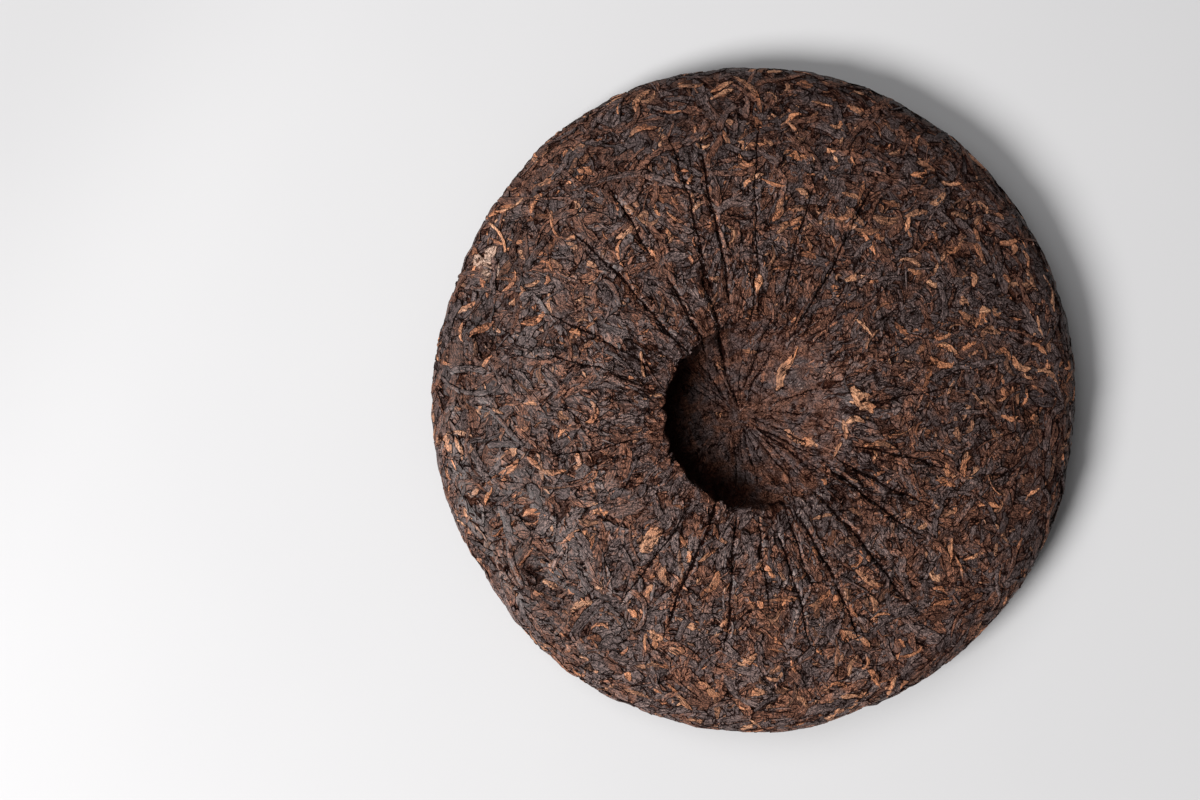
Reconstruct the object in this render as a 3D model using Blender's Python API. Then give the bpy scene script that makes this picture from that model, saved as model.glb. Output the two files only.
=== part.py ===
# A pressed pu erh tea cake, lying with the hollow of its cloth knot upwards.
# Metres, +Z up, origin at the middle of the cake's footprint.
import math

import bmesh
import bpy
from mathutils import Vector, noise

# the cake's own sizes
CAKE_WIDTH = 0.2010  # across, along X
CAKE_LENGTH = 0.2055  # across, along Y
TURNED_RADIUS = 0.1015  # of the round profile, before it is pushed out of round
COLLAR_HEIGHT = 0.0272  # the back, beside the hollow
SHOULDER_RADIUS = 0.0880  # where the back turns over into the edge
SHOULDER_HEIGHT = 0.0190
EDGE_HEIGHT = 0.0110  # the widest line of the edge
LOWER_EDGE_RADIUS = 0.0890  # where the edge turns under into the face
LOWER_EDGE_HEIGHT = 0.0045
FLAT_RADIUS = 0.0460  # the flat middle of the face, which the cake rests on
BACK_CURVE = 1.7  # how late the back falls away towards the shoulder

# the hollow left by the knot of the pressing cloth
HOLLOW_X = -0.0062
HOLLOW_Y = -0.0046
HOLLOW_RADIUS = 0.0288
HOLLOW_LEAN = 0.0032  # the mouth reaches this much further on its gentle side
HOLLOW_FLOOR = 0.0122  # height of its lowest point
STEEP_SIDE = math.radians(205)  # the direction of its steep wall
GENTLE_CURVE = 1.8  # power of the wall's rise on the gentle side
STEEP_CURVE = 8.0  # and on the steep side
FLOOR_SLOPE = 0.12  # share of the depth that the floor gains on its way to the walls
HOLLOW_REACH = 0.0850  # where the rings are centred on the cake again

# unevenness
LUMP_HEIGHT = 0.0007
LUMP_SIZE = 0.016
EDGE_LUMP_HEIGHT = 0.0006
EDGE_LUMPS = 6.0  # how many stand round the edge
EDGE_LUMP_SHARE = 0.6  # of the lumps of the back, on the edge and the face
CREASE_WIDTH = 0.0016
CREASE_FADE = 0.010

# flats and bulges of the outline: direction in degrees, height, half width in degrees
OUTLINE_SWELLS = (
    (15, 0.0006, 12),
    (76, 0.0005, 10),
    (118, 0.0012, 15),
    (158, -0.0008, 11),
    (211, -0.0015, 10),
    (292, -0.0008, 13),
)

# deep folds of the cloth: direction in degrees from the hollow's middle, start, end, depth
CREASES = (
    (7, 0.035, 0.069, 0.0006),
    (60, 0.031, 0.084, 0.0008),
    (75, 0.029, 0.073, 0.0007),
    (87, 0.025, 0.090, 0.0006),
    (99, 0.035, 0.086, 0.0013),
    (106, 0.019, 0.054, 0.0011),
    (120, 0.023, 0.052, 0.0010),
    (133, 0.025, 0.077, 0.0011),
    (153, 0.031, 0.069, 0.0008),
    (163, 0.031, 0.061, 0.0007),
    (192, 0.035, 0.063, 0.0006),
    (237, 0.033, 0.071, 0.0008),
    (250, 0.029, 0.069, 0.0013),
    (265, 0.031, 0.073, 0.0011),
    (277, 0.031, 0.063, 0.0008),
    (291, 0.029, 0.065, 0.0009),
    (299, 0.033, 0.077, 0.0012),
    (312, 0.031, 0.081, 0.0012),
    (328, 0.029, 0.069, 0.0014),
    (337, 0.033, 0.063, 0.0009),
    (350, 0.035, 0.065, 0.0007),
)

# how finely the surface is cut
AROUND = 96
HOLLOW_RINGS = (0.14, 0.32, 0.50, 0.65, 0.77, 0.86, 0.93, 0.97, 1.0)  # shares of the mouth
COLLAR_STEPS = 2
COLLAR_END = 0.0350
BACK_STEPS = 9
EDGE_STEPS = 5  # above the widest line, and as many below it
FACE_STEPS = 4
HAIR = 0.0001  # allowance when a point of the profile is looked up by its radius
MERGE_DISTANCE = 0.00001


def smooth_step(value):
    held = min(1.0, max(0.0, value))
    return held * held * (3.0 - 2.0 * held)


def steps(start, end, count):
    """The ends of `count` equal steps after `start`."""
    return [start + (end - start) * (i + 1) / count for i in range(count)]


def back_height(radius):
    """Height of the back at a distance from the middle, the hollow left aside."""
    run = (radius - HOLLOW_RADIUS) / (SHOULDER_RADIUS - HOLLOW_RADIUS)
    fall = max(0.0, run) ** BACK_CURVE
    return COLLAR_HEIGHT - (COLLAR_HEIGHT - SHOULDER_HEIGHT) * fall


def edge_point(angle):
    """The rounded edge: a quarter oval above the widest line and another below it."""
    rising = angle > 0
    start_radius = SHOULDER_RADIUS if rising else LOWER_EDGE_RADIUS
    start_height = SHOULDER_HEIGHT if rising else LOWER_EDGE_HEIGHT
    radius = start_radius + (TURNED_RADIUS - start_radius) * math.cos(angle)
    height = EDGE_HEIGHT + abs(start_height - EDGE_HEIGHT) * math.sin(angle)
    return radius, height


def turned_profile():
    """From the floor of the hollow over the back and the edge to the flat face."""
    points = [(0.0, HOLLOW_FLOOR)]
    points += [(share * HOLLOW_RADIUS, COLLAR_HEIGHT) for share in HOLLOW_RINGS]
    points += [(r, back_height(r)) for r in steps(HOLLOW_RADIUS, COLLAR_END, COLLAR_STEPS)]
    points += [(r, back_height(r)) for r in steps(COLLAR_END, SHOULDER_RADIUS, BACK_STEPS)]
    quarter = math.pi / 2
    points += [edge_point(a) for a in steps(quarter, -quarter, 2 * EDGE_STEPS)]
    for radius in steps(LOWER_EDGE_RADIUS, FLAT_RADIUS, FACE_STEPS):
        share = (radius - FLAT_RADIUS) / (LOWER_EDGE_RADIUS - FLAT_RADIUS)
        points.append((radius, LOWER_EDGE_HEIGHT * share * share))
    points.append((0.0, 0.0))
    return [Vector((radius, 0.0, height)) for radius, height in points]


def turned_body():
    """The round cake, spun from its profile."""
    mesh = bmesh.new()
    profile = [mesh.verts.new(point) for point in turned_profile()]
    edges = [mesh.edges.new(pair) for pair in zip(profile, profile[1:])]
    bmesh.ops.spin(
        mesh,
        geom=profile + edges,
        cent=(0.0, 0.0, 0.0),
        axis=(0.0, 0.0, 1.0),
        angle=2.0 * math.pi,
        steps=AROUND,
        use_merge=True,
    )
    bmesh.ops.remove_doubles(mesh, verts=mesh.verts, dist=MERGE_DISTANCE)
    bmesh.ops.recalc_face_normals(mesh, faces=mesh.faces)
    return mesh


def angle_between(one, other):
    """The smaller angle from one direction to another."""
    return abs((one - other + math.pi) % (2.0 * math.pi) - math.pi)


def outline_swell(direction):
    """How far the outline stands in or out in a direction."""
    total = 0.0
    for degrees, height, half_width in OUTLINE_SWELLS:
        share = angle_between(direction, math.radians(degrees)) / math.radians(half_width)
        total += height * math.exp(-share * share)
    ripple = Vector((math.cos(direction), math.sin(direction), 0.0)) * EDGE_LUMPS
    return total + EDGE_LUMP_HEIGHT * noise.noise(ripple)


def crease_depth(direction, distance):
    """Depth of the cloth's folds at a place seen from the hollow's middle."""
    deepest = 0.0
    for degrees, start, end, depth in CREASES:
        aside = angle_between(direction, math.radians(degrees)) * distance / CREASE_WIDTH
        fade_in = smooth_step((distance - start) / CREASE_FADE + 1.0)
        fade_out = smooth_step((end - distance) / CREASE_FADE + 1.0)
        deepest = max(deepest, depth * math.exp(-aside * aside) * fade_in * fade_out)
    return deepest


def hollow_height(share, direction, mouth_height):
    """Height inside the hollow, from 0 at its middle to 1 at its mouth."""
    facing = (1.0 + math.cos(direction - STEEP_SIDE)) / 2.0
    power = GENTLE_CURVE + (STEEP_CURVE - GENTLE_CURVE) * facing**1.5
    rise = FLOOR_SLOPE * share + (1.0 - FLOOR_SLOPE) * share**power
    return HOLLOW_FLOOR + (mouth_height - HOLLOW_FLOOR) * rise


def lump(place):
    return LUMP_HEIGHT * noise.noise(place / LUMP_SIZE)


def shaped(point):
    """Where a point of the round cake lies on the real, uneven one."""
    radius = math.hypot(point.x, point.y)
    direction = math.atan2(point.y, point.x)
    across = Vector((math.cos(direction), math.sin(direction), 0.0))
    on_back = point.z > EDGE_HEIGHT and radius < SHOULDER_RADIUS + HAIR
    reach = radius + outline_swell(direction) * (radius / TURNED_RADIUS) ** 3
    oval = across * reach
    oval.x *= CAKE_WIDTH / (2.0 * TURNED_RADIUS)
    oval.y *= CAKE_LENGTH / (2.0 * TURNED_RADIUS)
    if point.z < EDGE_HEIGHT and radius < FLAT_RADIUS + HAIR:
        return Vector((oval.x, oval.y, 0.0))
    if not on_back:
        swell = lump(point) * EDGE_LUMP_SHARE
        return oval + across * swell + Vector((0.0, 0.0, point.z))

    lean = HOLLOW_LEAN * math.cos(direction)
    mouth = across * (radius * (1.0 + lean / HOLLOW_RADIUS))
    mouth += Vector((HOLLOW_X, HOLLOW_Y, 0.0))
    settled = smooth_step((radius - COLLAR_END) / (HOLLOW_REACH - COLLAR_END))
    place = mouth.lerp(oval, settled)
    seen = place - Vector((HOLLOW_X, HOLLOW_Y, 0.0))
    height = point.z
    if radius < HOLLOW_RADIUS:
        height = hollow_height(radius / HOLLOW_RADIUS, direction, COLLAR_HEIGHT)
    height += lump(point)
    height -= crease_depth(math.atan2(seen.y, seen.x), seen.length)
    return Vector((place.x, place.y, height))


def centred(mesh):
    """Moves the footprint's middle to the origin and the face to the ground."""
    xs = [vert.co.x for vert in mesh.verts]
    ys = [vert.co.y for vert in mesh.verts]
    lowest = min(vert.co.z for vert in mesh.verts)
    middle = Vector(((min(xs) + max(xs)) / 2.0, (min(ys) + max(ys)) / 2.0, lowest))
    bmesh.ops.translate(mesh, verts=mesh.verts, vec=-middle)


def tea_material():
    """Dark fermented leaf, dull and dry."""
    material = bpy.data.materials.new("pressed_tea")
    material.use_nodes = True
    shader = material.node_tree.nodes["Principled BSDF"]
    shader.inputs["Base Color"].default_value = (0.072, 0.042, 0.034, 1.0)
    shader.inputs["Roughness"].default_value = 0.72
    shader.inputs["Metallic"].default_value = 0.0
    return material


def tea_cake():
    """One pressed body of leaves."""
    mesh = turned_body()
    for vert in mesh.verts:
        vert.co = shaped(vert.co.copy())
    centred(mesh)
    bmesh.ops.triangulate(mesh, faces=mesh.faces)
    data = bpy.data.meshes.new("tea_cake")
    mesh.to_mesh(data)
    mesh.free()
    data.shade_smooth()
    cake = bpy.data.objects.new("tea_cake", data)
    cake.data.materials.append(tea_material())
    bpy.context.scene.collection.objects.link(cake)
    return cake


for old in list(bpy.data.objects):
    bpy.data.objects.remove(old, do_unlink=True)
tea_cake()
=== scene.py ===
import math

import bpy
import numpy as np
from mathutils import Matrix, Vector
from mathutils.bvhtree import BVHTree


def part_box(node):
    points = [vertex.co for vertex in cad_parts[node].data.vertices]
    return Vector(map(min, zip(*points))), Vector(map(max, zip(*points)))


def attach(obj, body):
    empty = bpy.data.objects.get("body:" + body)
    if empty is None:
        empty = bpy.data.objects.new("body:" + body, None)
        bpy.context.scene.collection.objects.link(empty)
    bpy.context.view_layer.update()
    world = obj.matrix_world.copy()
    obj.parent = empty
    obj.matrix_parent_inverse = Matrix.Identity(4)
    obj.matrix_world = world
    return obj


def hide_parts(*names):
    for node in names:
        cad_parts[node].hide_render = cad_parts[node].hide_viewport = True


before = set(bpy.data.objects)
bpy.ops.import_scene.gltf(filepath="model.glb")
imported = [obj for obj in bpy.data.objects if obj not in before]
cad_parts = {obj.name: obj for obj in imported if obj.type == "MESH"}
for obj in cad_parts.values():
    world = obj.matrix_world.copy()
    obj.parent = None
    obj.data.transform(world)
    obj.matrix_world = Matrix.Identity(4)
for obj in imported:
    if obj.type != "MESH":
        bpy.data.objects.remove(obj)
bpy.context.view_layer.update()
low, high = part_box("tea_cake")
mm = 0.001
print("frame loaded, cake", [round(b - a, 4) for a, b in zip(low, high)])


class Wire:
    # an output of a node that takes part in sums
    def __init__(self, shader, socket):
        self.shader = shader
        self.socket = socket

    def __add__(self, other):
        return self.shader.maths("ADD", self, other)

    __radd__ = __add__

    def __sub__(self, other):
        return self.shader.maths("SUBTRACT", self, other)

    def __rsub__(self, other):
        return self.shader.maths("SUBTRACT", other, self)

    def __mul__(self, other):
        return self.shader.maths("MULTIPLY", self, other)

    __rmul__ = __mul__

    def __truediv__(self, other):
        return self.shader.maths("DIVIDE", self, other)

    def __rtruediv__(self, other):
        return self.shader.maths("DIVIDE", other, self)

    def __pow__(self, other):
        return self.shader.maths("POWER", self, other)


class Shader:
    def __init__(self, name):
        self.material = bpy.data.materials.new(name)
        self.material.use_nodes = True
        self.tree = self.material.node_tree
        self.surface = self.tree.nodes["Principled BSDF"]

    def feed(self, socket, value):
        if isinstance(value, Wire):
            self.tree.links.new(value.socket, socket)
        else:
            socket.default_value = value

    def node(self, kind, settings=None, inputs=None, output=0):
        made = self.tree.nodes.new(kind)
        for key, value in (settings or {}).items():
            if key == "stops":
                self.setStops(made.color_ramp, value)
            else:
                setattr(made, key, value)
        for key, value in (inputs or {}).items():
            self.feed(made.inputs[key], value)
        return Wire(self, made.outputs[output])

    def setStops(self, ramp, stops):
        while len(ramp.elements) < len(stops):
            ramp.elements.new(0.5)
        for element, (place, colour) in zip(ramp.elements, stops):
            element.position = place
            element.color = (*colour, 1.0)

    def maths(self, operation, *values):
        return self.node("ShaderNodeMath", {"operation": operation}, dict(enumerate(values)))

    def held(self, value):
        return self.node("ShaderNodeClamp", None, {0: value})

    def between(self, value, start, end):
        # 0 at start, 1 at end, smooth
        return self.node(
            "ShaderNodeMapRange",
            {"interpolation_type": "SMOOTHSTEP"},
            {0: value, 1: start, 2: end, 3: 0.0, 4: 1.0},
        )

    def mix(self, share, one, other, way="MIX"):
        settings = {"data_type": "RGBA", "blend_type": way}
        return self.node("ShaderNodeMix", settings, {0: share, 6: one, 7: other}, 2)

    def attribute(self, name, output="Fac"):
        return self.node("ShaderNodeAttribute", {"attribute_name": name}, None, output)

    def objectPlace(self):
        return self.node("ShaderNodeTexCoord", None, None, "Object")

    def stretched(self, place, scale):
        return self.node("ShaderNodeMapping", None, {"Vector": place, "Scale": scale})

    def noise(self, place, scale, detail=2.0, rough=0.5, distortion=0.0):
        inputs = {
            "Vector": place,
            "Scale": scale,
            "Detail": detail,
            "Roughness": rough,
            "Distortion": distortion,
        }
        return self.node("ShaderNodeTexNoise", {"noise_dimensions": "3D"}, inputs, "Fac")

    def parts(self, place):
        split = self.node("ShaderNodeSeparateXYZ", None, {0: place})
        return [Wire(self, output) for output in split.socket.node.outputs]

    def joined(self, x, y, z):
        return self.node("ShaderNodeCombineXYZ", None, {0: x, 1: y, 2: z})

    def bump(self, height, distance):
        return self.node("ShaderNodeBump", None, {"Height": height, "Distance": distance}, "Normal")


# sizes of the cake in mm, measured from its middle

cake = {
    "turnedRadius": 101.5,
    "collarHeight": 27.2,
    "shoulder": (88.0, 19.0),  # distance from the middle, height
    "edgeHeight": 11.0,
    "lowerEdge": (89.0, 4.5),
    "flatRadius": 46.0,
    "backCurve": 1.7,
    "hollow": (-6.2, -4.6),
    "hollowRadius": 28.8,
    "hollowLean": 3.2,
    "tear": 0.9,
    "hollowFloor": 12.2,
    "steepSide": 205,  # degrees
    "gentleCurve": 1.8,
    "steepCurve": 8.0,
    "floorSlope": 0.12,
    "collarEnd": 35.0,
    "hollowReach": 85.0,
}
swells = (  # flats and bulges of the outline: degrees, height, half width in degrees
    (15, 0.6, 12),
    (76, 0.5, 10),
    (118, 1.2, 15),
    (158, -0.8, 11),
    (211, -1.5, 10),
    (292, -0.8, 13),
)
clothFolds = (  # degrees from the hollow, start, end, depth
    (7, 35, 69, 0.7),
    (60, 31, 84, 0.9),
    (73, 29, 76, 0.9),
    (87, 25, 92, 0.9),
    (99, 35, 88, 1.6),
    (105, 40, 90, 1.2),
    (107, 19, 54, 1.3),
    (120, 23, 52, 1.2),
    (121, 56, 84, 1.1),
    (133, 25, 79, 1.3),
    (153, 31, 70, 0.9),
    (163, 31, 65, 0.8),
    (192, 35, 63, 0.7),
    (237, 33, 71, 0.9),
    (250, 29, 72, 1.5),
    (265, 31, 74, 1.3),
    (277, 31, 63, 0.9),
    (286, 37, 76, 1.2),
    (292, 30, 60, 1.1),
    (298, 33, 80, 1.5),
    (312, 31, 82, 1.4),
    (326, 29, 69, 1.7),
    (334, 31, 66, 1.2),
    (345, 35, 67, 1.2),
)


def smoothStep(value):
    held = np.clip(value, 0.0, 1.0)
    return held * held * (3.0 - 2.0 * held)


def waviness(points, size, seed, waves=14):
    # a smooth uneven field between about -1 and 1, from crossing waves
    local = np.random.default_rng(seed)
    total = np.zeros(len(points))
    for _ in range(waves):
        turn = local.normal(size=points.shape[1])
        turn /= np.linalg.norm(turn)
        length = size * local.uniform(0.7, 1.5)
        phase = local.uniform(0.0, 2.0 * math.pi)
        total += np.sin(points @ turn * (2.0 * math.pi / length) + phase)
    return total / math.sqrt(waves)


def angleBetween(one, other):
    return np.abs((one - other + math.pi) % (2.0 * math.pi) - math.pi)


def backHeight(radius):
    run = (radius - cake["hollowRadius"]) / (cake["shoulder"][0] - cake["hollowRadius"])
    fall = np.maximum(0.0, run) ** cake["backCurve"]
    return cake["collarHeight"] - (cake["collarHeight"] - cake["shoulder"][1]) * fall


def edgePoint(angle):
    start = cake["shoulder"] if angle > 0 else cake["lowerEdge"]
    radius = start[0] + (cake["turnedRadius"] - start[0]) * math.cos(angle)
    return radius, cake["edgeHeight"] + abs(start[1] - cake["edgeHeight"]) * math.sin(angle)


def turnedProfile(counts):
    # from the floor of the hollow over the back and the edge to the flat face, in mm
    points = [(0.0, cake["collarHeight"])]
    for radius in np.linspace(0.0, cake["hollowRadius"], counts["hollow"] + 1)[1:]:
        points.append((radius, cake["collarHeight"]))
    for radius in np.linspace(cake["hollowRadius"], cake["shoulder"][0], counts["back"] + 1)[1:]:
        points.append((radius, float(backHeight(radius))))
    for angle in np.linspace(math.pi / 2, -math.pi / 2, counts["edge"] + 1)[1:]:
        points.append(edgePoint(angle))
    for radius in np.linspace(cake["lowerEdge"][0], cake["flatRadius"], counts["face"] + 1)[1:]:
        share = (radius - cake["flatRadius"]) / (cake["lowerEdge"][0] - cake["flatRadius"])
        points.append((radius, cake["lowerEdge"][1] * share * share))
    for radius in np.linspace(cake["flatRadius"], 0.0, counts["flat"] + 1)[1:]:
        points.append((radius, 0.0))
    return [Vector((radius * mm, 0.0, height * mm)) for radius, height in points]


def turnedPiece(name, profile, around):
    # one point is extruded along the profile, then the line is spun
    bpy.ops.object.select_all(action="DESELECT")
    bpy.ops.mesh.primitive_plane_add(size=0.01, location=(0.0, 0.0, 0.0))
    piece = bpy.context.object
    piece.name = name
    bpy.ops.object.mode_set(mode="EDIT")
    bpy.ops.mesh.merge(type="CENTER")
    bpy.ops.transform.translate(value=profile[0])
    for start, end in zip(profile, profile[1:]):
        bpy.ops.mesh.extrude_region_move(TRANSFORM_OT_translate={"value": end - start})
    bpy.ops.mesh.select_all(action="SELECT")
    bpy.ops.mesh.spin(
        steps=around, angle=2.0 * math.pi, center=(0.0, 0.0, 0.0), axis=(0.0, 0.0, 1.0)
    )
    bpy.ops.mesh.select_all(action="SELECT")
    bpy.ops.mesh.remove_doubles(threshold=0.000001)
    bpy.ops.mesh.normals_make_consistent(inside=False)
    bpy.ops.object.mode_set(mode="OBJECT")
    return piece


def outlineSwell(direction):
    total = np.zeros(len(direction))
    for degrees, height, halfWidth in swells:
        share = angleBetween(direction, math.radians(degrees)) / math.radians(halfWidth)
        total += height * np.exp(-share * share)
    ring = np.stack([np.cos(direction), np.sin(direction)], 1)
    return total + 0.35 * waviness(ring, 0.35, 5) + 0.16 * waviness(ring, 0.09, 6)


def envelope(turned):
    # the round profile's points, in mm, moved to the uneven cake
    radius = np.hypot(turned[:, 0], turned[:, 1])
    direction = np.arctan2(turned[:, 1], turned[:, 0])
    across = np.stack([np.cos(direction), np.sin(direction)], 1)
    reach = radius + outlineSwell(direction) * (radius / cake["turnedRadius"]) ** 3
    oval = across * reach[:, None]
    oval[:, 0] *= (high[0] - low[0]) / (2.0 * cake["turnedRadius"] * mm)
    oval[:, 1] *= (high[1] - low[1]) / (2.0 * cake["turnedRadius"] * mm)

    lean = 1.0 + cake["hollowLean"] * np.cos(direction) / cake["hollowRadius"]
    steep = (1.0 + np.cos(direction - math.radians(cake["steepSide"]))) / 2.0
    tear = waviness(across, 0.3, 15) * cake["tear"] * steep
    tear = tear * np.exp(-(((radius - cake["hollowRadius"]) / 5.0) ** 2))
    mouth = across * (radius * lean + tear)[:, None] + np.array(cake["hollow"])
    span = cake["hollowReach"] - cake["collarEnd"]
    settled = smoothStep((radius - cake["collarEnd"]) / span)[:, None]
    onBack = (turned[:, 2] > cake["edgeHeight"]) & (radius < cake["shoulder"][0] + 0.01)
    flat = np.where(onBack[:, None], mouth * (1.0 - settled) + oval * settled, oval)

    power = cake["gentleCurve"] + (cake["steepCurve"] - cake["gentleCurve"]) * steep**1.5
    share = np.clip(radius / cake["hollowRadius"], 0.0, 1.0)
    rise = cake["floorSlope"] * share + (1.0 - cake["floorSlope"]) * share**power
    sunk = cake["hollowFloor"] + (cake["collarHeight"] - cake["hollowFloor"]) * rise
    inHollow = onBack & (radius < cake["hollowRadius"])
    height = np.where(inHollow, sunk, turned[:, 2])
    lump = 0.26 * waviness(flat, 22.0, 11) + 0.14 * waviness(flat, 9.0, 12)
    height = height + np.where(onBack, lump, 0.0)
    return np.column_stack([flat, height])


def meshPoints(piece):
    flat = np.empty(len(piece.data.vertices) * 3)
    piece.data.vertices.foreach_get("co", flat)
    return flat.reshape(-1, 3)


def setMeshPoints(piece, points):
    piece.data.vertices.foreach_set("co", np.asarray(points, dtype=np.float32).ravel())
    piece.data.update()


def sortedFaces(piece):
    # the faces in a fixed order, each from its lowest point number
    found = []
    for face in piece.data.polygons:
        loop = list(face.vertices)
        first = loop.index(min(loop))
        found.append(tuple(loop[first:] + loop[:first]))
    return sorted(found)


guide = turnedPiece("pressGuide", turnedProfile(
    {"hollow": 26, "back": 40, "edge": 18, "face": 22, "flat": 16}), 300)
guidePoints = envelope(meshPoints(guide) / mm) * mm
guideFaces = sortedFaces(guide)
guideTree = BVHTree.FromPolygons([Vector(p) for p in guidePoints], guideFaces)
bpy.data.objects.remove(guide, do_unlink=True)
print("guide surface", len(guideFaces), "faces")


hollowFolds = (  # the same inside the hollow, running together at the knot
    (127, 7, 25, 0.9), (118, 5, 22, 0.6), (107, 3, 36, 1.0), (98, 3, 14, 0.6),
    (77, 10, 34, 0.9), (52, 5, 13, 0.5), (18, 12, 30, 0.6), (2, 4, 29, 0.6),
    (-31, 9, 32, 0.9), (-38, 5, 37, 1.0), (-46, 8, 30, 0.6), (-62, 4, 22, 0.6),
    (-74, 5, 24, 0.9), (-95, 8, 24, 0.6), (172, 4, 16, 0.5), (152, 3, 20, 0.7),
    (208, 3, 15, 0.4), (232, 2, 17, 0.5), (88, 4, 22, 0.5), (140, 6, 19, 0.5), (65, 7, 25, 0.6),
    (35, 5, 21, 0.5), (-10, 4, 27, 0.5), (-22, 5, 26, 0.6), (-54, 4, 27, 0.6), (-84, 4, 22, 0.5),
    (190, 3, 14, 0.4), (-110, 5, 19, 0.5),
)
pinch = {
    "side": 0.42,  # mm to either side that are drawn onto the fold
    "share": 0.5,  # of the depth, taken by real shape
    "lip": 0.36,
    "known": 3.0,  # how far from the fold points still know it
}


def press(points, onBack):
    # pinches the folds into points on the back, in mm; also how far each point lies from its
    # nearest fold, and that fold's depth there
    local = np.random.default_rng(41)
    fromX = points[:, 0] - cake["hollow"][0]
    fromY = points[:, 1] - cake["hollow"][1]
    distance = np.hypot(fromX, fromY)
    direction = np.arctan2(fromY, fromX)
    nearest = np.full(len(points), pinch["known"])
    depths = np.zeros(len(points))
    for degrees, start, end, depth in clothFolds + hollowFolds:
        phase = local.uniform(0.0, 2.0 * math.pi)
        wander = 0.55 * np.sin(distance / 8.0 + phase) + 0.22 * np.sin(distance / 2.3 + 3.0 * phase)
        turn = (direction - math.radians(degrees) + math.pi) % (2.0 * math.pi) - math.pi
        aside = turn * distance - wander
        fades = smoothStep((distance - start) / 4.0 + 0.5) * smoothStep((end - distance) / 9.0)
        closer = (np.abs(aside) < np.abs(nearest)) & (fades > 0.0)
        nearest = np.where(closer, aside, nearest)
        depths = np.where(closer, depth * fades, depths)
    depths = depths * onBack
    drawn = np.where((np.abs(nearest) < pinch["side"]) & (depths > 0.1), -nearest, 0.0)
    away = np.maximum(distance, 0.5)
    pressed = points.copy()
    pressed[:, 0] += drawn * -fromY / away
    pressed[:, 1] += drawn * fromX / away
    lip = np.exp(-(((np.abs(nearest) - 1.6) / 0.9) ** 2)) * pinch["lip"]
    pressed[:, 2] += depths * np.where(drawn != 0.0, -pinch["share"], lip)
    return pressed, nearest, depths


def wallPocket(points):
    # 1 deep in the torn wall of the hollow's steep side; the mask tears the wall's shape and darkens it with
    # painted shade
    fromX = points[:, 0] - cake["hollow"][0]
    fromY = points[:, 1] - cake["hollow"][1]
    facing = np.cos(np.arctan2(fromY, fromX) - math.radians(cake["steepSide"]))
    share = np.hypot(fromX, fromY) / cake["hollowRadius"]
    inWall = smoothStep((share - 0.55) / 0.25) * smoothStep((1.08 - share) / 0.1)
    below = smoothStep((cake["collarHeight"] - 0.6 - points[:, 2]) / 3.0)
    return smoothStep((facing + 0.02) / 0.8) * inWall * below * (points[:, 2] > cake["edgeHeight"])


def keepValues(data, name, values):
    data.attributes.new(name, "FLOAT", "POINT").data.foreach_set(
        "value", np.asarray(values, dtype=np.float32))


# the core stands for the solid, and the bits lie on it
core = {"around": 540, "sink": 0.34, "relief": 0.26, "torn": 0.7}
rings = {"hollow": 40, "back": 86, "edge": 20, "face": 18, "flat": 8}
body = turnedPiece("pressedBody", turnedProfile(rings), core["around"])
bodyTurned = meshPoints(body) / mm
bodyShape = envelope(bodyTurned)
onBack = (bodyTurned[:, 2] > cake["edgeHeight"]).astype(float)
fromHollow = np.hypot(bodyShape[:, 0] - cake["hollow"][0], bodyShape[:, 1] - cake["hollow"][1])
outside = np.where(onBack > 0, smoothStep((fromHollow - 27.0) / 8.0), 1.0)
bodyShape, bodyAside, bodyDepths = press(bodyShape, onBack)
setMeshPoints(body, bodyShape * mm)
normals = np.empty(len(bodyShape) * 3)
body.data.vertices.foreach_get("normal", normals)
normals = normals.reshape(-1, 3)
relief = 0.6 * waviness(bodyShape, 3.2, 21) + 0.4 * waviness(bodyShape, 1.5, 22)
offset = relief * core["relief"] * (0.6 + 0.4 * outside) - core["sink"] * outside
torn = 0.7 * waviness(bodyShape, 4.5, 23) + 0.4 * waviness(bodyShape, 2.2, 24)
offset += torn * wallPocket(bodyShape) * core["torn"]
bodyShape += normals * offset[:, None]
bodyShape[:, 2] = np.maximum(bodyShape[:, 2], 0.0)
setMeshPoints(body, bodyShape * mm)
bpy.ops.object.select_all(action="DESELECT")
body.select_set(True)
bpy.context.view_layer.objects.active = body
bpy.ops.object.shade_smooth()
keepValues(body.data, "inward", np.full(len(bodyShape), 9.0))
# darker where the core shows between the bits, as painted shade; darker by a smaller step inside the hollow
keepValues(body.data, "gap", 0.45 + 0.55 * outside)
# painted shade deep in the hollow's steep wall
keepValues(body.data, "pocket", wallPocket(bodyShape))
keepValues(body.data, "foldAside", bodyAside)
keepValues(body.data, "foldDepth", bodyDepths)
print("core", len(body.data.polygons), "faces")


def selectWhere(piece, test):
    bpy.ops.object.mode_set(mode="OBJECT")
    for vertex in piece.data.vertices:
        vertex.select = bool(test(vertex.co))
    for edge in piece.data.edges:
        edge.select = all(piece.data.vertices[i].select for i in edge.vertices)
    for face in piece.data.polygons:
        face.select = all(piece.data.vertices[i].select for i in face.vertices)
    bpy.ops.object.mode_set(mode="EDIT")


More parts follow.
